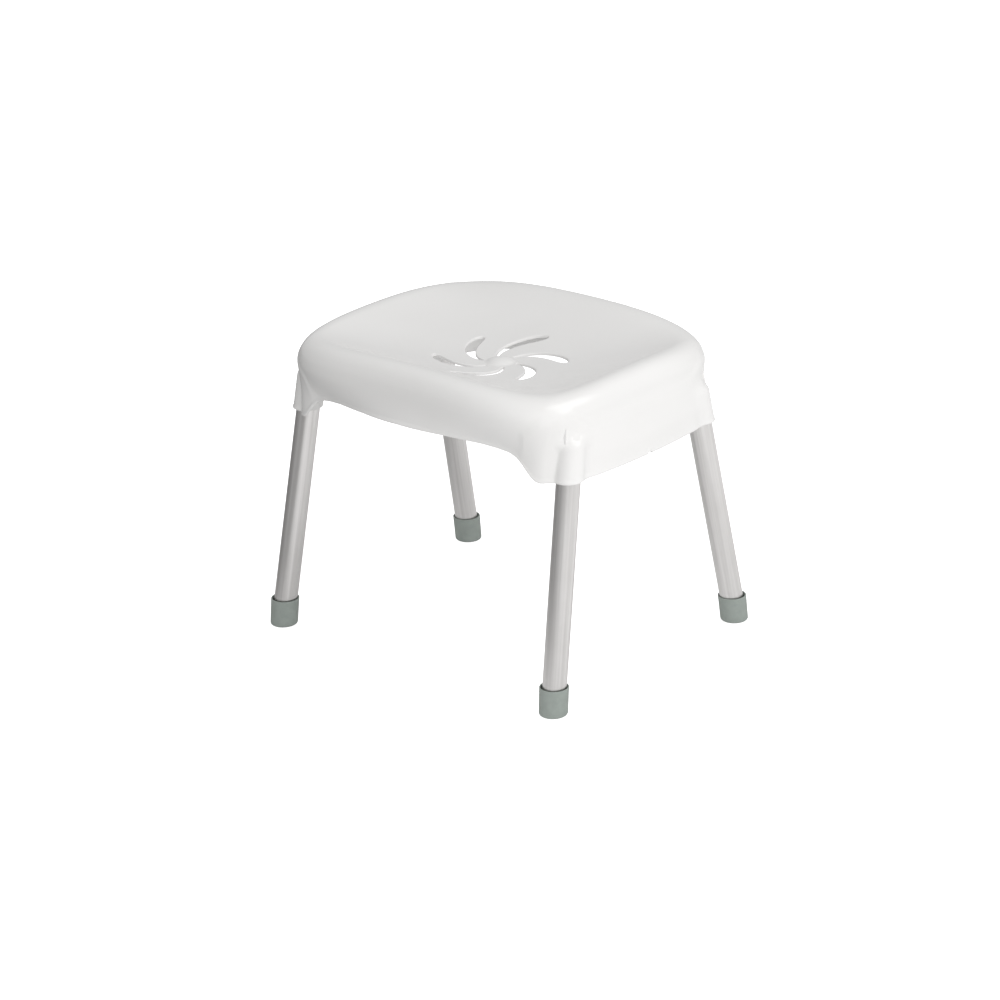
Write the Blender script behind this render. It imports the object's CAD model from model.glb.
import bpy, bmesh, math
import numpy as np
from mathutils import Matrix, Vector, Quaternion
from mathutils.geometry import delaunay_2d_cdt


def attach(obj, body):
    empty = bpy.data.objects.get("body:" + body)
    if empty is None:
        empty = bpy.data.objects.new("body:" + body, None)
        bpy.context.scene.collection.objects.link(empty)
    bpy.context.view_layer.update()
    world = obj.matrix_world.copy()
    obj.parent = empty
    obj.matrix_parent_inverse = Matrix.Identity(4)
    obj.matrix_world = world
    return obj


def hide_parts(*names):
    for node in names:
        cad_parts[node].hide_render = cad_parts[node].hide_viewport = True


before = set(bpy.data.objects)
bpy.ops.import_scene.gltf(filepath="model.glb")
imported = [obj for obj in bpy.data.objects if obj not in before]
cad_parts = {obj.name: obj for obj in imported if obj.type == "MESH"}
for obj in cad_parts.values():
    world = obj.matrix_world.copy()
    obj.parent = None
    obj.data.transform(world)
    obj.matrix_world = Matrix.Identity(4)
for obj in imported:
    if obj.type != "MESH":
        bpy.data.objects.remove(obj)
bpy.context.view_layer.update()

# ------------------------------------------------------------------ camera
AZ, EL, DIST, FOCAL = math.radians(41.580), math.radians(21.084), 4.1859, 3465.8
CX, CY, ROLL, AIM_Z = 503.66, 468.75, math.radians(-1.8293), 0.200

c = np.array([math.sin(AZ) * math.cos(EL), -math.cos(AZ) * math.cos(EL), math.sin(EL)]) * DIST
fwd = -c / np.linalg.norm(c)
right = np.array([math.cos(AZ), math.sin(AZ), 0.0])
up = np.cross(right, fwd)
R = np.stack([right, -up, fwd])
cr, sr = math.cos(ROLL), math.sin(ROLL)
R = np.array([[cr, -sr, 0], [sr, cr, 0], [0, 0, 1]]) @ R
pos = c + np.array([0, 0, AIM_Z])
cam_data = bpy.data.cameras.new("camera")
cam = bpy.data.objects.new("camera", cam_data)
bpy.context.scene.collection.objects.link(cam)
cam.matrix_world = Matrix((
    (R[0][0], -R[1][0], -R[2][0], pos[0]),
    (R[0][1], -R[1][1], -R[2][1], pos[1]),
    (R[0][2], -R[1][2], -R[2][2], pos[2]),
    (0, 0, 0, 1)))
cam_data.sensor_width = 36.0
cam_data.lens = 36.0 * FOCAL / 1000.0
cam_data.shift_x = -(CX - 500.0) / 1000.0
cam_data.shift_y = (CY - 500.0) / 1000.0
cam_data.clip_end = 100.0
bpy.context.scene.camera = cam

# ------------------------------------------------------------------ leg geometry, as in the CAD (millimetres until the end)
LEG_X, LEG_Y, LEAN_X, LEAN_Y = 217.5, 173.5, 0.044, 0.1925
CORNERS = {"front_right": (1, -1), "front_left": (-1, -1), "back_right": (1, 1), "back_left": (-1, 1)}


def leg_frame(sx, sy):
    w = Vector((-sx * LEAN_X, -sy * LEAN_Y, 1)).normalized()
    u = Vector((-sx, -sy, 0)).normalized()
    u = (u - w * u.dot(w)).normalized()
    return w, u, w.cross(u)


def leg_at(sx, sy, z):
    return Vector((sx * (LEG_X - LEAN_X * z), sy * (LEG_Y - LEAN_Y * z), z))


def leg_matrix(sx, sy, z):
    w, u, v = leg_frame(sx, sy)
    p = leg_at(sx, sy, z)
    return np.array([[u[0], v[0], w[0], p[0]], [u[1], v[1], w[1], p[1]], [u[2], v[2], w[2], p[2]], [0, 0, 0, 1]])


# ------------------------------------------------------------------ mesh helpers
def grid_faces(n_rows, n_cols, start=0, wrap=True, flip=False):
    i = np.arange(n_rows - 1)[:, None] * n_cols
    j = np.arange(n_cols if wrap else n_cols - 1)[None, :]
    j2 = (j + 1) % n_cols
    f = np.stack([i + j, i + j2, i + n_cols + j2, i + n_cols + j], -1).reshape(-1, 4) + start
    return f[:, ::-1] if flip else f


def lathe(profile, seg=96, closed=True):
    """profile: list of (r, z); returns verts, faces round local Z. r = 0 makes a pole."""
    verts, faces = [], []
    ring = []
    for r, z in profile:
        if r < 1e-6:
            ring.append([len(verts)]); verts.append((0, 0, z))
        else:
            k = len(verts); ring.append(list(range(k, k + seg)))
            verts += [(r * math.cos(2 * math.pi * i / seg), r * math.sin(2 * math.pi * i / seg), z) for i in range(seg)]
    pairs = list(zip(ring, ring[1:])) + ([(ring[-1], ring[0])] if closed and len(ring[0]) > 1 and len(ring[-1]) > 1 else [])
    for a, b in pairs:
        for i in range(seg):
            j = (i + 1) % seg
            if len(a) == 1:
                faces.append((a[0], b[j], b[i]))
            elif len(b) == 1:
                faces.append((a[i], a[j], b[0]))
            else:
                faces.append((a[i], a[j], b[j], b[i]))
    return np.array(verts, float), [tuple(int(q) for q in f) for f in faces]


def arc(cx, cz, r, a0, a1, n):
    return [(cx + r * math.cos(math.radians(a0 + (a1 - a0) * i / n)), cz + r * math.sin(math.radians(a0 + (a1 - a0) * i / n))) for i in range(n + 1)]


def moved(verts, m):
    return verts @ m[:3, :3].T + m[:3, 3]


def make(name, parts, material, body, nodes=(), smooth=True, autosmooth=None):
    """parts: list of (verts in mm, faces). One object, normals made to face outwards."""
    vs, fs, k = [], [], 0
    for v, f in parts:
        vs.append(np.asarray(v, float)); fs += [tuple(int(q) + k for q in t) for t in f]; k += len(v)
    me = bpy.data.meshes.new(name)
    me.from_pydata((np.vstack(vs) / 1000.0).tolist(), [], fs)
    me.validate()
    ob = bpy.data.objects.new(name, me)
    bpy.context.scene.collection.objects.link(ob)
    bm = bmesh.new(); bm.from_mesh(me)
    bmesh.ops.recalc_face_normals(bm, faces=bm.faces)
    if autosmooth:
        for e in bm.edges:
            if len(e.link_faces) == 2:
                e.smooth = e.calc_face_angle(0) < math.radians(autosmooth)
    for f in bm.faces:
        f.smooth = smooth
    bm.to_mesh(me); bm.free()
    me.materials.append(material)
    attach(ob, body)
    if nodes:
        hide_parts(*nodes)
    return ob


# ------------------------------------------------------------------ materials
def material(name):
    m = bpy.data.materials.new(name)
    m.use_nodes = True
    nt = m.node_tree
    return m, nt, nt.nodes["Principled BSDF"]


def add(nt, kind, **kw):
    n = nt.nodes.new(kind)
    for k, v in kw.items():
        if k in n.inputs.keys():
            n.inputs[k].default_value = v
        else:
            setattr(n, k, v)
    return n


def ramp(nt, fac, stops):
    r = nt.nodes.new("ShaderNodeValToRGB")
    e = r.color_ramp.elements
    while len(e) < len(stops):
        e.new(0.5)
    for el, (p, col) in zip(e, stops):
        el.position = p
        el.color = (*col, 1.0) if len(col) == 3 else col
    nt.links.new(fac, r.inputs["Fac"])
    return r.outputs["Color"]


def plastic_material():
    m, nt, p = material("seat_white_plastic")
    L = nt.links.new
    tc = add(nt, "ShaderNodeTexCoord")
    big = add(nt, "ShaderNodeTexNoise", Scale=7.0, Detail=2.0, Roughness=0.5)
    L(tc.outputs["Object"], big.inputs["Vector"])
    L(ramp(nt, big.outputs["Fac"], [(0.3, PLASTIC_A), (0.7, PLASTIC_B)]), p.inputs["Base Color"])
    # moulded gloss, a little uneven
    mid = add(nt, "ShaderNodeTexNoise", Scale=38.0, Detail=3.0, Roughness=0.55)
    L(tc.outputs["Object"], mid.inputs["Vector"])
    L(ramp(nt, mid.outputs["Fac"], [(0.3, (0.205,) * 3), (0.75, (0.255,) * 3)]), p.inputs["Roughness"])
    b2 = add(nt, "ShaderNodeBump", Strength=0.05, Distance=0.0006)
    L(big.outputs["Fac"], b2.inputs["Height"])
    L(b2.outputs["Normal"], p.inputs["Normal"])
    p.inputs["IOR"].default_value = 1.48
    p.inputs["Specular IOR Level"].default_value = 0.5
    return m


PLASTIC_A, PLASTIC_B = (0.775, 0.768, 0.758), (0.800, 0.794, 0.786)


def leg_material(sx, sy, label):
    """Satin aluminium: fine lines run along the tube, so the texture is looked up in the tube's own axes."""
    m, nt, p = material("leg_satin_aluminium_" + label)
    L = nt.links.new
    tc = add(nt, "ShaderNodeTexCoord")
    w, u, v = leg_frame(sx, sy)
    o = leg_at(sx, sy, 0) / 1000.0
    dots = []
    for axis in (u, v, w):
        sub = add(nt, "ShaderNodeVectorMath", operation="SUBTRACT")
        L(tc.outputs["Object"], sub.inputs[0]); sub.inputs[1].default_value = o
        d = add(nt, "ShaderNodeVectorMath", operation="DOT_PRODUCT")
        L(sub.outputs[0], d.inputs[0]); d.inputs[1].default_value = axis
        dots.append(d.outputs["Value"])
    comb = add(nt, "ShaderNodeCombineXYZ")
    for i in range(3):
        L(dots[i], comb.inputs[i])

    def lines(scale, stretch, detail):
        mp = add(nt, "ShaderNodeMapping"); mp.inputs["Scale"].default_value = (1, 1, stretch)
        L(comb.outputs[0], mp.inputs["Vector"])
        n = add(nt, "ShaderNodeTexNoise", Scale=scale, Detail=detail, Roughness=0.6)
        L(mp.outputs[0], n.inputs["Vector"])
        return n.outputs["Fac"]

    streak, hair = lines(260.0, 0.012, 2.0), lines(1500.0, 0.006, 3.0)
    cloud = add(nt, "ShaderNodeTexNoise", Scale=16.0, Detail=3.0, Roughness=0.55)
    L(comb.outputs[0], cloud.inputs["Vector"])
    base = ramp(nt, streak, [(0.30, METAL_A), (0.70, METAL_B)])
    mix = add(nt, "ShaderNodeMix", data_type="RGBA", blend_type="MULTIPLY")
    mix.inputs[0].default_value = 1.0
    L(base, mix.inputs[6])
    L(ramp(nt, cloud.outputs["Fac"], [(0.3, (0.95, 0.948, 0.945)), (0.7, (1.0, 1.0, 1.0))]), mix.inputs[7])
    L(mix.outputs[2], p.inputs["Base Color"])
    L(ramp(nt, hair, [(0.3, (0.28,) * 3), (0.7, (0.38,) * 3)]), p.inputs["Roughness"])
    bump = add(nt, "ShaderNodeBump", Strength=0.10, Distance=0.0003)
    L(hair, bump.inputs["Height"])
    L(bump.outputs["Normal"], p.inputs["Normal"])
    p.inputs["Metallic"].default_value = 1.0
    return m


METAL_A, METAL_B = (0.690, 0.675, 0.664), (0.850, 0.836, 0.826)


def rubber_material():
    m, nt, p = material("foot_grey_green_rubber")
    L = nt.links.new
    tc = add(nt, "ShaderNodeTexCoord")
    n = add(nt, "ShaderNodeTexNoise", Scale=120.0, Detail=4.0, Roughness=0.6)
    L(tc.outputs["Object"], n.inputs["Vector"])
    L(ramp(nt, n.outputs["Fac"], [(0.3, RUBBER_A), (0.7, RUBBER_B)]), p.inputs["Base Color"])
    L(ramp(nt, n.outputs["Fac"], [(0.3, (0.55,) * 3), (0.7, (0.68,) * 3)]), p.inputs["Roughness"])
    f = add(nt, "ShaderNodeTexNoise", Scale=2200.0, Detail=2.0)
    L(tc.outputs["Object"], f.inputs["Vector"])
    b = add(nt, "ShaderNodeBump", Strength=0.15, Distance=0.0003)
    L(f.outputs["Fac"], b.inputs["Height"])
    L(b.outputs["Normal"], p.inputs["Normal"])
    return m


RUBBER_A, RUBBER_B = (0.270, 0.302, 0.280), (0.312, 0.346, 0.322)


def steel_material():
    m, nt, p = material("inner_plain_steel")
    L = nt.links.new
    tc = add(nt, "ShaderNodeTexCoord")
    n = add(nt, "ShaderNodeTexNoise", Scale=300.0, Detail=4.0, Roughness=0.6)
    L(tc.outputs["Object"], n.inputs["Vector"])
    L(ramp(nt, n.outputs["Fac"], [(0.3, (0.50, 0.51, 0.52)), (0.7, (0.60, 0.61, 0.62))]), p.inputs["Base Color"])
    L(ramp(nt, n.outputs["Fac"], [(0.3, (0.28,) * 3), (0.7, (0.40,) * 3)]), p.inputs["Roughness"])
    p.inputs["Metallic"].default_value = 1.0
    return m

# ------------------------------------------------------------------ seat surface (millimetres, positive inside), as in the CAD
DISH_Z, RIM_RISE, RIM_X, RIM_Y, RIM_NORM = 337.0, 40.8, 207.0, 150.0, 2.9
CORNER_DROP, CORNER_POWER, DROP_Y = 29.5, 2.55, 135.0
SHOULDER_Z, R_SHOULDER = 331.0, 3.5
APRON_X, APRON_BOW, APRON_DRAFT = 218.0, 8.0, 0.045
SKIRT_Y, SKIRT_BOW, SKIRT_HALF, SKIRT_REF_Z, SKIRT_ROLL = 152.0, 34.0, 158.0, 310.0, 7.0
CHEEK_NX, CHEEK_NY, CHEEK_OFF = 0.51, 0.86, 224.0
R_SHORT, R_LONG, R_PLAN, R_CHEEK = 28.5, 42.0, 34.0, 7.0
CROWN_X, CROWN_Y, CROWN_N, CROWN_Z0, CROWN_Z1 = 217.5, 180.2, 4.35, 292.0, 345.0
POST_R, POST_TOP_Z, POST_DOME = 18.2, 321.5, 10.0
EDGE_X = [0, 60, 110, 130, 148, 158, 166, 172, 177, 182, 187, 400]
EDGE_H = [312, 310.5, 307, 304.5, 301.5, 297, 290, 283, 277.5, 273.2, 271.3, 271.3]
BOSS_R, BOSS_H = 17.0, 5.5
SLOT_R0, SLOT_R1, SLOT_START, SLOT_SWEEP, SLOT_W0, SLOT_W1 = 20.0, 82.0, 80.0, 55.0, 2.6, 14.0
WALL = 3.2


def rmin(a, b, r):
    return np.maximum(np.minimum(a, b), r) - np.hypot(np.maximum(r - a, 0), np.maximum(r - b, 0))


def rmax(a, b, r):
    return -rmin(-a, -b, r)


def smooth01(t):
    t = np.clip(t, 0, 1)
    return t * t * (3 - 2 * t)


def top_z(x, y):
    u, v = np.abs(x) / RIM_X, np.abs(y) / RIM_Y
    d = np.hypot(x, y) / BOSS_R
    boss = BOSS_H * np.maximum(1 - d * d, 0) ** 0.8
    rho = (u ** RIM_NORM + v ** RIM_NORM + 1e-12) ** (1 / RIM_NORM)
    return DISH_Z + RIM_RISE * (0.5 * rho ** 1.8 + 0.5 * rho ** 3) - CORNER_DROP * (u * np.abs(y) / DROP_Y + 1e-9) ** CORNER_POWER + boss


def shell_at(x, y, z):
    X, Y, e = np.abs(x), np.abs(y), 0.5
    gx, gy = top_z(x + e, y) - top_z(x - e, y), top_z(x, y + e) - top_z(x, y - e)
    t = (top_z(x, y) - z) / np.sqrt(1 + np.minimum(gx * gx + gy * gy, 2.0))
    wx = APRON_X + APRON_BOW * (1 - (Y / 121.0) ** 2) - APRON_DRAFT * (z - 271) - X
    bump = np.where(X < SKIRT_HALF, np.cos(np.pi * np.minimum(X, SKIRT_HALF) / (2 * SKIRT_HALF)) ** 2, 0)
    zz = np.maximum(z - SKIRT_REF_Z, 0) / 60.0
    wy = SKIRT_Y + SKIRT_BOW * bump + 0.05 * (SKIRT_REF_Z - z) - SKIRT_ROLL * zz * zz * (0.35 + 0.65 * bump) - Y
    wd = CHEEK_OFF - CHEEK_NX * X - CHEEK_NY * Y - 0.02 * (z - 271)
    w = rmin(rmin(wy, wd, R_CHEEK), wx, R_PLAN)
    U, W = X / CROWN_X, Y / CROWN_Y
    rho = (U ** CROWN_N + W ** CROWN_N + 1e-12) ** (1 / CROWN_N)
    g = np.hypot((U / rho) ** (CROWN_N - 1) / CROWN_X, (W / rho) ** (CROWN_N - 1) / CROWN_Y)
    wt = (1 - rho) / np.maximum(g, 1e-3)
    q = smooth01((z - CROWN_Z0) / (CROWN_Z1 - CROWN_Z0))
    w = w * (1 - q) + wt * q
    s = np.minimum((X / 190.0) ** 4, 1)
    roll = rmin(t, w, R_LONG * (1 - s) + R_SHORT * s)
    zs = SHOULDER_Z + 13 * np.clip((X - 175) / 15, 0, 1) + 6 * np.clip((X - 190) / 15, 0, 1) - 30 * smooth01((174 - X) / 14) - 18 * smooth01((124 - Y) / 40)
    return rmax(roll, rmin(w, (zs + 0.8 * w - 0.02 * w * w - z) / 1.28, R_SHOULDER), 6.0)


def post_at(x, y, z):
    dx, dy = np.abs(x) - (LEG_X - LEAN_X * z), np.abs(y) - (LEG_Y - LEAN_Y * z)
    return rmin(POST_R - np.hypot(dx, dy * 0.982), POST_TOP_Z - z, POST_DOME)


def outer_at(x, y, z):
    a = np.degrees(np.arctan2(np.abs(y) - (LEG_Y - LEAN_Y * z), np.abs(x) - (LEG_X - LEAN_X * z)))
    return rmax(shell_at(x, y, z), post_at(x, y, z), 9.0 - 7.4 * smooth01((a - 30) / 40) * (1 - smooth01((z - 305) / 13)))


def edge_low(x, y):
    h = np.interp(np.abs(x), EDGE_X, EDGE_H)
    notch = 2.3 * (1 - smooth01((np.abs(y) - 2.3) / 1.2)) * (np.abs(x) > 200)
    return h + notch


def root(fn, lo, hi, n=32):
    a, b = np.array(lo, float), np.array(hi, float)
    a, b = np.broadcast_arrays(a, b)
    a, b = a.copy(), b.copy()
    for _ in range(n):
        m = (a + b) / 2
        g = fn(m) > 0
        a, b = np.where(g, m, a), np.where(g, b, m)
    return (a + b) / 2


def seat_angles():
    q = [0, 0.3, 0.55, 0.68, 0.76, 0.86, 1.0, 1.3, 1.8] + list(np.arange(2.6, 23.5, 1.0)) + list(np.arange(24.0, 36.6, 0.3)) \
        + list(np.arange(37.0, 44.0, 0.5)) + list(np.arange(44.5, 89.6, 1.0))
    q = np.array(q)
    full = np.concatenate([q, [90.0], (180 - q[1:])[::-1], 180 + q, [270.0], (360 - q[1:])[::-1]])
    return np.radians(full)


SLOT_N = 64


def slot_outline(k, grow):
    """Closed outline of drain slot k, grown outwards by grow, counter-clockwise."""
    def centre(t):
        r = SLOT_R0 + (SLOT_R1 - SLOT_R0) * t
        a = np.radians(SLOT_START + 60 * k - SLOT_SWEEP * np.maximum(t, 0) ** 1.15)
        return np.stack([r * np.cos(a), r * np.sin(a)], -1)

    def half(t):
        body = SLOT_W0 + (SLOT_W1 - SLOT_W0) * np.sin(np.pi / 2 * np.minimum(t / 0.78, 1)) ** 1.6
        end = np.where(t > 0.80, np.sqrt(np.maximum(1 - ((t - 0.80) / 0.20) ** 2, 0)), 1)
        start = np.where(t < 0.025, np.sqrt(np.maximum(1 - ((0.025 - t) / 0.025) ** 2, 0)), 1)
        return body * end * start / 2
    b = np.linspace(0, 1, SLOT_N)
    t = 0.5 - 0.5 * np.cos(np.pi * b)               # close together at both ends
    t = 0.35 * t + 0.65 * (1 - (1 - t) ** 1.25)
    c0 = centre(t)
    d = centre(np.minimum(t + 1e-3, 1.0)) - centre(np.maximum(t - 1e-3, 0.0))
    d /= np.linalg.norm(d, axis=1, keepdims=True)
    n = np.stack([-d[:, 1], d[:, 0]], 1)
    h = half(t)[:, None]
    line = np.concatenate([c0 - n * h, (c0 + n * h)[::-1][1:-1]])
    # even spacing, then offset along the outline's own normal
    seg = np.linalg.norm(np.roll(line, -1, 0) - line, axis=1)
    s = np.concatenate([[0], np.cumsum(seg)])
    m = 132
    want = np.linspace(0, s[-1], m, endpoint=False)
    pts = np.stack([np.interp(want, s, np.append(line[:, i], line[0, i])) for i in range(2)], 1)
    for _ in range(2):
        pts = 0.25 * np.roll(pts, 1, 0) + 0.5 * pts + 0.25 * np.roll(pts, -1, 0)
    tan = np.roll(pts, -1, 0) - np.roll(pts, 1, 0)
    tan /= np.linalg.norm(tan, axis=1, keepdims=True)
    return pts + np.stack([tan[:, 1], -tan[:, 0]], 1) * grow


def inside(poly, pts):
    x, y = pts[:, 0][:, None], pts[:, 1][:, None]
    a, b = poly, np.roll(poly, -1, 0)
    cond = (a[:, 1] > y) != (b[:, 1] > y)
    xi = (b[:, 0] - a[:, 0]) * (y - a[:, 1]) / (b[:, 1] - a[:, 1] + 1e-30) + a[:, 0]
    return (np.sum(cond & (x < xi), axis=1) % 2) == 1


DISC_R, SLOT_LIP = 92.0, 1.7


def disc_part(angles, grow, level, flip):
    """The slotted middle of the dish as triangles, at depth level below the top skin."""
    circle = np.stack([DISC_R * np.cos(angles), DISC_R * np.sin(angles)], 1)
    outlines = [slot_outline(k, grow) for k in range(6)]
    fill = [np.array([[0.0, 0.0]])]
    for i, r in enumerate(np.arange(2.2, DISC_R - 1.2, 2.2)):
        m = max(6, int(2 * math.pi * r / 2.3))
        a = 2 * np.pi * (np.arange(m) + 0.5 * (i % 2)) / m
        fill.append(np.stack([r * np.cos(a), r * np.sin(a)], 1))
    fill = np.vstack(fill)
    keep = np.ones(len(fill), bool)
    for o in outlines:
        keep &= ~inside(o, fill)
        d = np.sqrt(((fill[:, None] - o[None]) ** 2).sum(-1)).min(1)
        keep &= d > 0.9
    pts, edges = [circle], [(i, (i + 1) % len(circle)) for i in range(len(circle))]
    k = len(circle)
    for o in outlines:
        edges += [(k + i, k + (i + 1) % len(o)) for i in range(len(o))]
        pts.append(o); k += len(o)
    pts.append(fill[keep])
    pts = np.vstack(pts)
    vo, eo, fo, ov, oe, of_ = delaunay_2d_cdt([Vector((float(a), float(b))) for a, b in pts], edges, [], 0, 1e-5)
    v2 = np.array([(q[0], q[1]) for q in vo], float)
    for i, src in enumerate(ov):            # keep the exact input positions
        if src:
            v2[i] = pts[src[0]]
    tri = np.array([f for f in fo if len(f) == 3])
    cen = v2[tri].mean(1)
    ok = inside(circle, cen)
    for o in outlines:
        ok &= ~inside(o, cen)
    z = root(lambda q: outer_at(v2[:, 0], v2[:, 1], q) - level, np.full(len(v2), 290.0), np.full(len(v2), 420.0))
    v3 = np.column_stack([v2, z])
    tri = tri[ok]
    return v3, [tuple(int(q) for q in (t[::-1] if flip else t)) for t in tri]


def seat_parts():
    th = seat_angles()
    n = len(th)
    C, S = np.cos(th), np.sin(th)
    z0 = 322.0
    rc = root(lambda r: shell_at(r * C, r * S, z0), np.full(n, 60.0), np.full(n, 320.0)) - 34.0
    rings = []

    def vertical(level, f):
        r = DISC_R + (rc - DISC_R) * f
        z = root(lambda q: outer_at(r * C, r * S, q) - level, np.full(n, 290.0), np.full(n, 420.0))
        return np.stack([r * C, r * S, z], 1)

    def ray(level, a, zc=z0):
        dr, dz = math.cos(a), math.sin(a)
        t = root(lambda q: outer_at((rc + q * dr) * C, (rc + q * dr) * S, zc + q * dz) - level, np.zeros(n), np.full(n, 120.0))
        return np.stack([(rc + t * dr) * C, (rc + t * dr) * S, zc + t * dz], 1)

    def level_at(level, z):
        return root(lambda q: outer_at(q * C, q * S, z) - level, np.full(n, 60.0), np.full(n, 320.0))

    zl = np.full(n, 275.0)
    for _ in range(12):
        r = level_at(0, zl)
        zl = 0.5 * zl + 0.5 * edge_low(r * C, r * S)
    lip = 1.5
    zb = zl + lip
    for k in range(20):
        rings.append(vertical(0, k / 20))
    for k in range(25):
        rings.append(ray(0, math.pi / 2 * (1 - k / 24)))
    NW = 28
    for k in range(1, NW + 1):
        z = z0 + (zb - z0) * (k / NW)
        r = level_at(0, z) + 0.8 * smooth01(1 - (z - zb) / 4.5)      # slight outward bead at the lower edge
        rings.append(np.stack([r * C, r * S, z], 1))
    ro, ri = rings[-1] @ np.array([0, 0, 0.0]) + np.hypot(rings[-1][:, 0], rings[-1][:, 1]), level_at(WALL, zb)
    for k in range(1, 8):
        s = k / 8
        r = ro + (ri - ro) * (1 - math.cos(math.pi * s)) / 2
        z = zb - lip * math.sin(math.pi * s) ** 0.6
        rings.append(np.stack([r * C, r * S, z], 1))
    zi = 316.0
    NI = 14
    for k in range(NI):
        z = zb + (np.maximum(zi, zb + 0.5) - zb) * (k / NI)
        r = level_at(WALL, z)
        rings.append(np.stack([r * C, r * S, z], 1))
    for k in range(13):
        rings.append(ray(WALL, math.pi / 2 * (k / 12), zi + 0.5))
    for k in range(11, -1, -1):
        rings.append(vertical(WALL, k / 12))
    V = np.array(rings)
    M = len(rings)
    parts = [(V.reshape(-1, 3), [tuple(int(q) for q in f) for f in grid_faces(M, n)])]
    parts.append(disc_part(th, SLOT_LIP, 0.0, False))
    parts.append(disc_part(th, 0.0, WALL, True))
    for k in range(6):
        rows = []
        for j in range(7):
            a = math.pi / 2 * j / 6
            o = slot_outline(k, SLOT_LIP * (1 - math.sin(a)))
            z = root(lambda q: outer_at(o[:, 0], o[:, 1], q), np.full(len(o), 290.0), np.full(len(o), 420.0))
            rows.append(np.column_stack([o, z - SLOT_LIP * (1 - math.cos(a))]))
        o = slot_outline(k, 0.0)
        zb2 = root(lambda q: outer_at(o[:, 0], o[:, 1], q) - WALL, np.full(len(o), 290.0), np.full(len(o), 420.0))
        rows.append(np.column_stack([o, 0.5 * rows[-1][:, 2] + 0.5 * zb2]))
        rows.append(np.column_stack([o, zb2]))
        W = np.array(rows)
        parts.append((W.reshape(-1, 3), [tuple(int(q) for q in f) for f in grid_faces(len(rows), W.shape[1])]))
    return parts


RIB_T, RIB_Z, RIB_Y, RIB_X, RIB_RING_R = 2.6, 322.0, 112.0, 110.0, 90.0
RIB_SECTION = [(-1.3, None), (-1.3, 0.7), (-0.95, 0.18), (0, 0), (0.95, 0.18), (1.3, 0.7), (1.3, None)]


def rib_line(points, normals, closed):
    """A rib under the points (x, y), up into the thickness of the moulding."""
    cols = []
    for off, lift in RIB_SECTION:
        p = points + normals * off
        if lift is None:
            z = root(lambda q: outer_at(p[:, 0], p[:, 1], q) - 1.2, np.full(len(p), 300.0), np.full(len(p), 420.0))
        else:
            z = np.full(len(p), RIB_Z + lift)
        cols.append(np.column_stack([p, np.maximum(z, RIB_Z + (lift or 0))]))
    V = np.array(cols)
    m = V.shape[1]
    return V.reshape(-1, 3), [tuple(int(q) for q in f) for f in grid_faces(len(cols), m, wrap=closed)]


def rib_parts():
    out = []
    for s in (-1, 1):
        end = float(root(lambda q: outer_at(q, s * RIB_Y, RIB_Z) - 1.5, 100.0, 300.0))
        x = np.linspace(-min(end, 190), min(end, 190), 120)
        out.append(rib_line(np.stack([x, np.full_like(x, s * RIB_Y)], 1), np.tile([0, 1.0], (len(x), 1)), False))
        end = float(root(lambda q: outer_at(s * RIB_X, q, RIB_Z) - 1.5, 60.0, 300.0))
        y = np.linspace(-end, end, 110)
        out.append(rib_line(np.stack([np.full_like(y, s * RIB_X), y], 1), np.tile([1.0, 0], (len(y), 1)), False))
    a = np.linspace(0, 2 * np.pi, 220, endpoint=False)
    d = np.stack([np.cos(a), np.sin(a)], 1)
    out.append(rib_line(d * RIB_RING_R, d, True))
    return out


TUBE_R, TUBE_WALL, TUBE_BOTTOM_Z, TUBE_TOP_Z, BUTTON_Z = 14.3, 1.5, 8.4, 308.8, 291.0
SOCKET_R, BORE_R, BUTTON_HOLE_R = 17.6, 14.6, 4.4


def cut_hole(verts, faces, m, r):
    """Cuts a round hole along local +X of m out of a closed mesh; returns the cut mesh."""
    me = bpy.data.meshes.new("cut_a"); me.from_pydata(verts.tolist(), [], faces)
    a = bpy.data.objects.new("cut_a", me); bpy.context.scene.collection.objects.link(a)
    cv, cf = lathe([(0, 9.0), (r, 9.0), (r, 30.0), (0, 30.0)], 48, closed=False)
    cv = cv[:, [2, 0, 1]]
    mb = bpy.data.meshes.new("cut_b"); mb.from_pydata(moved(cv, m).tolist(), [], cf)
    b = bpy.data.objects.new("cut_b", mb); bpy.context.scene.collection.objects.link(b)
    for o in (a, b):
        bm = bmesh.new(); bm.from_mesh(o.data); bmesh.ops.recalc_face_normals(bm, faces=bm.faces); bm.to_mesh(o.data); bm.free()
    md = a.modifiers.new("hole", "BOOLEAN"); md.operation = "DIFFERENCE"; md.solver = "EXACT"; md.object = b
    bpy.context.view_layer.update()
    ev = a.evaluated_get(bpy.context.evaluated_depsgraph_get()).to_mesh()
    vv = np.array([v.co for v in ev.vertices], float).reshape(-1, 3)
    ff = [tuple(p.vertices) for p in ev.polygons]
    a.evaluated_get(bpy.context.evaluated_depsgraph_get()).to_mesh_clear()
    bpy.data.objects.remove(a); bpy.data.objects.remove(b)
    bpy.data.meshes.remove(me); bpy.data.meshes.remove(mb)
    return vv, ff


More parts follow.
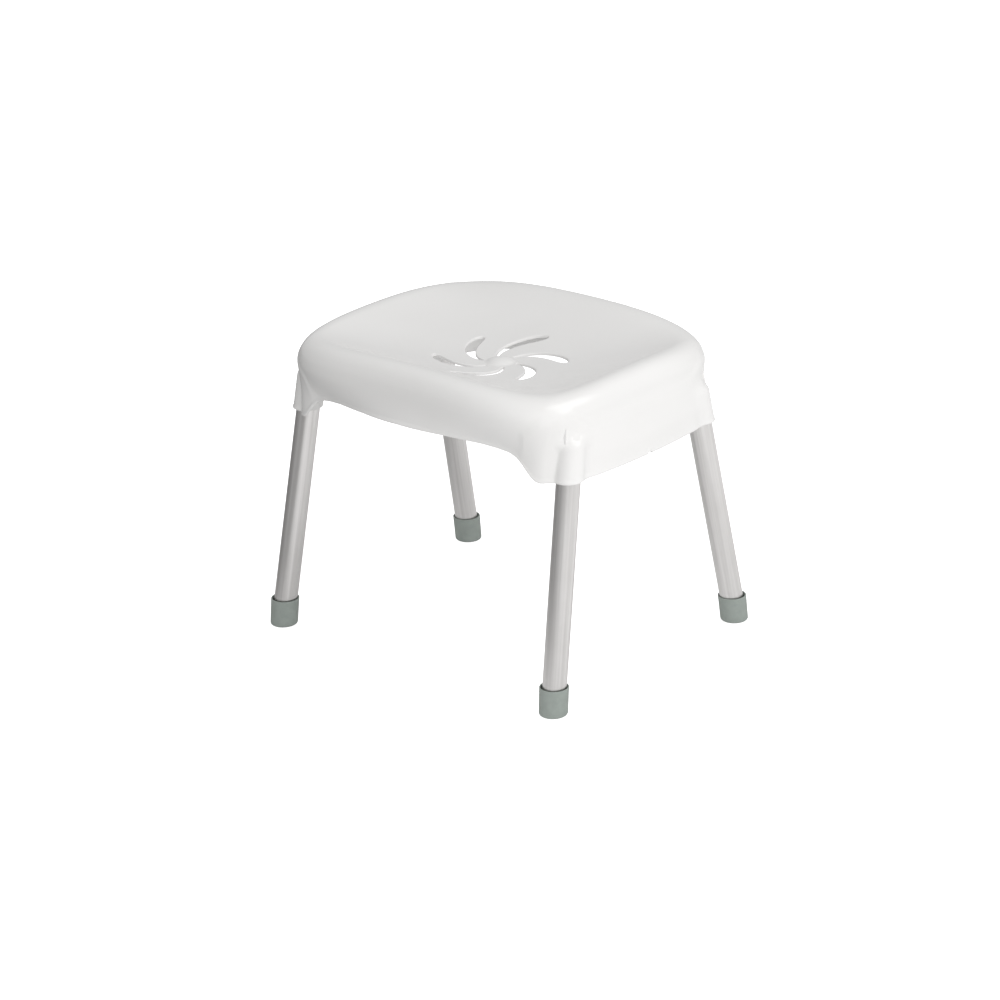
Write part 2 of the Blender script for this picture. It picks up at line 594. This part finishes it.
def socket_part(sx, sy):
    w, u, v = leg_frame(sx, sy)
    wz = w[2]
    m = leg_matrix(sx, sy, BUTTON_Z)
    seg = 72
    ang = 2 * np.pi * np.arange(seg) / seg

    def ring(r, s):
        loc = np.stack([r * np.cos(ang), r * np.sin(ang), np.broadcast_to(s, ang.shape)], 1)
        return moved(loc, m)

    def up_to(r, level):
        return root(lambda s: outer_at(*ring(r, s).T) - level, np.zeros(seg), np.full(seg, 110.0))
    low = (272.2 - BUTTON_Z) / wz
    # the lower end stays level with the floor, so each point slides along the axis
    def level_low(r, z):
        base = ring(r, 0.0)
        return (z - base[:, 2]) / wz
    rows = [ring(SOCKET_R, up_to(SOCKET_R, 0.5)), ring(SOCKET_R, level_low(SOCKET_R, 273.0)), ring(SOCKET_R - 0.4, level_low(SOCKET_R, 272.3)),
            ring(SOCKET_R - 1.2, level_low(SOCKET_R, 271.9)), ring(BORE_R + 0.6, level_low(BORE_R, 272.1)), ring(BORE_R + 0.08, level_low(BORE_R, 272.9)),
            ring(BORE_R + 0.08, np.full(seg, (309.5 - BUTTON_Z) / wz))]
    V = np.array(rows).reshape(-1, 3)
    F = [tuple(int(q) for q in f) for f in grid_faces(len(rows), seg)]
    # close it: a ceiling over the bore and a lid inside the moulding's thickness
    k = len(V)
    V = np.vstack([V, m[:3, 3] + np.array(w) * ((309.5 - BUTTON_Z) / wz), rows[0].mean(0)])
    last = (len(rows) - 1) * seg
    F += [(last + i, last + (i + 1) % seg, k) for i in range(seg)]
    F += [((i + 1) % seg, i, k + 1) for i in range(seg)]
    return cut_hole(V, F, m, BUTTON_HOLE_R)


def build_seat():
    parts = seat_parts() + rib_parts()
    for sx, sy in CORNERS.values():
        parts.append(socket_part(sx, sy))
    ob = make("seat_moulding", parts, plastic_material(), "frame", ["seat"], autosmooth=38)
    bm = bmesh.new(); bm.from_mesh(ob.data)
    bmesh.ops.remove_doubles(bm, verts=bm.verts, dist=2e-6)
    bmesh.ops.recalc_face_normals(bm, faces=bm.faces)
    for e in bm.edges:
        e.smooth = len(e.link_faces) != 2 or e.calc_face_angle(0) < math.radians(38)
    bm.to_mesh(ob.data); bm.free()
    return ob


# ------------------------------------------------------------------ legs and feet
def build_tube(name, sx, sy):
    w, u, v = leg_frame(sx, sy)
    L = (TUBE_TOP_Z - TUBE_BOTTOM_Z) / w[2]
    ro, ri, c = TUBE_R, TUBE_R - TUBE_WALL, 0.5
    prof = [(ri, c), (ri + 0.15, 0.15), (ri + c, 0), (ro - c, 0), (ro - 0.15, 0.15), (ro, c)]
    prof += [(ro, c + (L - 2 * c) * i / 12) for i in range(1, 12)]
    prof += [(ro, L - c), (ro - 0.15, L - 0.15), (ro - c, L), (ri + c, L), (ri + 0.15, L - 0.15), (ri, L - c)]
    prof += [(ri, c + (L - 2 * c) * (1 - i / 12)) for i in range(1, 12)]
    vs, fs = lathe(prof, 96)
    hole = np.eye(4); hole[2, 3] = (BUTTON_Z - TUBE_BOTTOM_Z) / w[2]
    vs, fs = cut_hole(vs, fs, hole, BUTTON_HOLE_R)
    vs = moved(vs, leg_matrix(sx, sy, TUBE_BOTTOM_Z))
    make("leg_" + name, [(vs, fs)], leg_material(sx, sy, name), "frame", ["leg_tube_" + name], autosmooth=40)


FOOT_LEAN, FOOT_CROSS_Z, FOOT_H = 0.55, 20.0, 33.5


def build_foot(name, sx, sy, mat):
    seg = 96
    ang = 2 * np.pi * np.arange(seg) / seg

    def foot_axis(z):
        p = leg_at(sx, sy, FOOT_CROSS_Z)
        return np.array([p[0] - sx * LEAN_X * FOOT_LEAN * (z - FOOT_CROSS_Z), p[1] - sy * LEAN_Y * FOOT_LEAN * (z - FOOT_CROSS_Z)])

    def ring(r, z, own=False):
        cx, cy = (leg_at(sx, sy, z)[0], leg_at(sx, sy, z)[1]) if own else foot_axis(z)
        return np.stack([cx + r * np.cos(ang), cy + r * np.sin(ang), np.full(seg, float(z))], 1)
    rows = [ring(0.02, 0)]
    for a, b in ((3.4, 4.9), (8.2, 9.7)):              # shallow rings moulded into the underside
        rows += [ring(a, 0), ring(a + 0.25, 0.7), ring(b - 0.25, 0.7), ring(b, 0)]
    rows += [ring(12.6, 0)]
    rows += [ring(14.3 + 2.7 * math.sin(t), 2.7 - 2.7 * math.cos(t)) for t in np.linspace(0, math.pi / 2, 9)]
    rows += [ring(17.0 + 0.4 * k / 8, 2.7 + (32.3 - 2.7) * k / 8) for k in range(1, 9)]
    rows += [ring(17.4 - 0.8 * (1 - math.cos(t)), 32.7 + 0.8 * math.sin(t)) for t in np.linspace(0.2, math.pi / 2, 6)]
    rows += [ring(16.2, 33.45), ring(15.95, 33.2), ring(15.8, 32.7), ring(15.8, 28), ring(15.8, 24.0), ring(14.95, 21.5, True), ring(14.95, 14, True), ring(14.95, 6.2, True), ring(0.02, 5.8, True)]
    V = np.array(rows).reshape(-1, 3)
    F = [tuple(int(q) for q in f) for f in grid_faces(len(rows), seg)]
    make("rubber_foot_" + name, [(V, F)], mat, "frame", ["foot_" + name], autosmooth=35)


def build_small(name, sx, sy, steel):
    w, u, v = leg_frame(sx, sy)
    c = 0.25
    vs, fs = lathe([(4.0, c), (4.0 + c, 0), (13.6 - c, 0), (13.6, c), (13.6, 1.5 - c), (13.6 - c, 1.5), (4.0 + c, 1.5), (4.0, 1.5 - c)], 64)
    make("washer_" + name, [(moved(vs, leg_matrix(sx, sy, 5.8 + 0.3)), fs)], steel, "frame", ["foot_washer_" + name], autosmooth=35)
    # snap button: a short pin with a domed end, pointing inwards
    prof = [(0, 0), (3.65, 0), (3.9, 0.25), (3.9, 6.2)] + [(3.9 - 2.3 * (1 - math.cos(t)), 6.2 + 2.3 * math.sin(t)) for t in np.linspace(0.15, math.pi / 2, 7)] + [(0.8, 8.49), (0, 8.5)]
    vs, fs = lathe(prof, 48, closed=False)
    vs = vs[:, [2, 0, 1]] + np.array([11.2 + 0.3 + 0.3, 0, 0])
    m = leg_matrix(sx, sy, BUTTON_Z)
    make("snap_pin_" + name, [(moved(vs, m), fs)], steel, "button_" + name, ["snap_button_" + name], autosmooth=35)
    # spring clip: a bent strip
    line = [(-11.2, 10), (-11.2, 4), (-11.2, -2), (-10.9, -5.2)] + [(-10.2 + 4.9 * k / 5, -8 - 19 * k / 5) for k in range(6)]
    line += [(5.0 * math.cos(math.pi + math.pi * i / 16), -28.6 + 5.0 * math.sin(math.pi + math.pi * i / 16)) for i in range(17)]
    line += [(5.3 + 4.9 * k / 5, -27 + 18 * k / 5) for k in range(6)] + [(10.9, -6), (11.2, -2.6), (11.2, 3), (11.2, 8)]
    line = np.array(line)
    d = np.gradient(line, axis=0); d /= np.linalg.norm(d, axis=1, keepdims=True)
    nrm = np.stack([-d[:, 1], d[:, 0]], 1)
    rows = []
    for off, side in ((0.3, -4.3), (0.3, 4.3), (0.12, 4.5), (-0.12, 4.5), (-0.3, 4.3), (-0.3, -4.3), (-0.12, -4.5), (0.12, -4.5)):
        q = line + nrm * off
        rows.append(np.stack([q[:, 0], np.full(len(q), side), q[:, 1]], 1))
    V = np.transpose(np.array(rows), (1, 0, 2))
    k = V.shape[1]
    F = [tuple(int(q) for q in f) for f in grid_faces(len(line), k)]
    F += [tuple(range(k)), tuple(range((len(line) - 1) * k, len(line) * k))[::-1]]
    make("clip_" + name, [(moved(V.reshape(-1, 3), m), F)], steel, "frame", ["spring_clip_" + name], autosmooth=35)


seat = build_seat()
rubber, steel = rubber_material(), steel_material()
for corner, (sx_, sy_) in CORNERS.items():
    build_tube(corner, sx_, sy_)
    build_foot(corner, sx_, sy_, rubber)
    build_small(corner, sx_, sy_, steel)
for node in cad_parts.values():            # hidden by the pieces that replace them, but finished all the same
    label = node.name
    mat = seat.data.materials[0] if label == "seat" else rubber if label.startswith("foot_") and "washer" not in label else steel
    if not label.startswith("leg_tube_"):
        if node.material_slots:
            node.material_slots[0].material = mat

# ------------------------------------------------------------------ stage and light
def floor_material():
    """The floor is seen as plain white; the light it bounces back is that of a grey studio floor, darker on the left and lighter on the key side."""
    m, nt, p = material("floor_pale")
    L = nt.links.new
    tc = add(nt, "ShaderNodeTexCoord")
    n = add(nt, "ShaderNodeTexNoise", Scale=0.6, Detail=1.0)
    L(tc.outputs["Object"], n.inputs["Vector"])
    L(ramp(nt, n.outputs["Fac"], [(0.3, (0.93, 0.93, 0.93)), (0.7, (0.95, 0.95, 0.95))]), p.inputs["Base Color"])
    p.inputs["Roughness"].default_value = 0.9
    p.inputs["Specular IOR Level"].default_value = 0.0
    p.inputs["Emission Color"].default_value = (1, 1, 1, 1)
    p.inputs["Emission Strength"].default_value = FLOOR_GLOW
    d = add(nt, "ShaderNodeVectorMath", operation="DOT_PRODUCT")
    L(tc.outputs["Object"], d.inputs[0]); d.inputs[1].default_value = FLOOR_SIDE
    mr = add(nt, "ShaderNodeMapRange"); mr.inputs["From Min"].default_value = -0.6; mr.inputs["From Max"].default_value = 0.6
    L(d.outputs["Value"], mr.inputs["Value"])
    q = add(nt, "ShaderNodeBsdfDiffuse")
    L(ramp(nt, mr.outputs[0], [(0.0, FLOOR_DARK), (0.35, FLOOR_MID), (1.0, FLOOR_LIGHT)]), q.inputs["Color"])
    lp = add(nt, "ShaderNodeLightPath")
    mix = add(nt, "ShaderNodeMixShader")
    L(lp.outputs["Is Camera Ray"], mix.inputs[0]); L(q.outputs[0], mix.inputs[1]); L(p.outputs[0], mix.inputs[2])
    L(mix.outputs[0], nt.nodes["Material Output"].inputs["Surface"])
    return m


FLOOR_SIDE, FLOOR_DARK, FLOOR_MID, FLOOR_LIGHT = (0.80, 0.45, 0.0), (0.30,) * 3, (0.82,) * 3, (0.94,) * 3
FLOOR_GLOW, WORLD, KEY, FILL = 0.80, 0.61, 39.0, 35.0
me = bpy.data.meshes.new("floor")
me.from_pydata([(-40, -40, -0.0005), (40, -40, -0.0005), (40, 40, -0.0005), (-40, 40, -0.0005)], [], [(0, 1, 2, 3)])
floor = bpy.data.objects.new("floor", me)
bpy.context.scene.collection.objects.link(floor)
me.materials.append(floor_material())

world = bpy.data.worlds.new("world")
world.use_nodes = True
world.node_tree.nodes["Background"].inputs[0].default_value = (1.0, 1.0, 1.0, 1.0)
world.node_tree.nodes["Background"].inputs[1].default_value = WORLD
bpy.context.scene.world = world


def area(name, at, target, size, power, colour=(1, 1, 1)):
    d = bpy.data.lights.new(name, "AREA")
    d.shape = "RECTANGLE"; d.size, d.size_y = size; d.energy = power; d.color = colour
    o = bpy.data.objects.new(name, d)
    bpy.context.scene.collection.objects.link(o)
    o.location = at
    o.rotation_mode = "QUATERNION"
    o.rotation_quaternion = (Vector(target) - Vector(at)).to_track_quat("-Z", "Y")
    return o


area("key", (2.3, 0.5, 2.6), (0, 0, 0.2), (2.2, 2.2), KEY)
area("fill", (2.1, -2.4, 1.35), (0, 0, 0.25), (3.4, 2.2), FILL).visible_glossy = False

scene = bpy.context.scene
scene.view_settings.view_transform = "Standard"
scene.view_settings.look = "None"
scene.view_settings.exposure = 0.0
scene.view_settings.gamma = 1.0

bpy.context.view_layer.update()
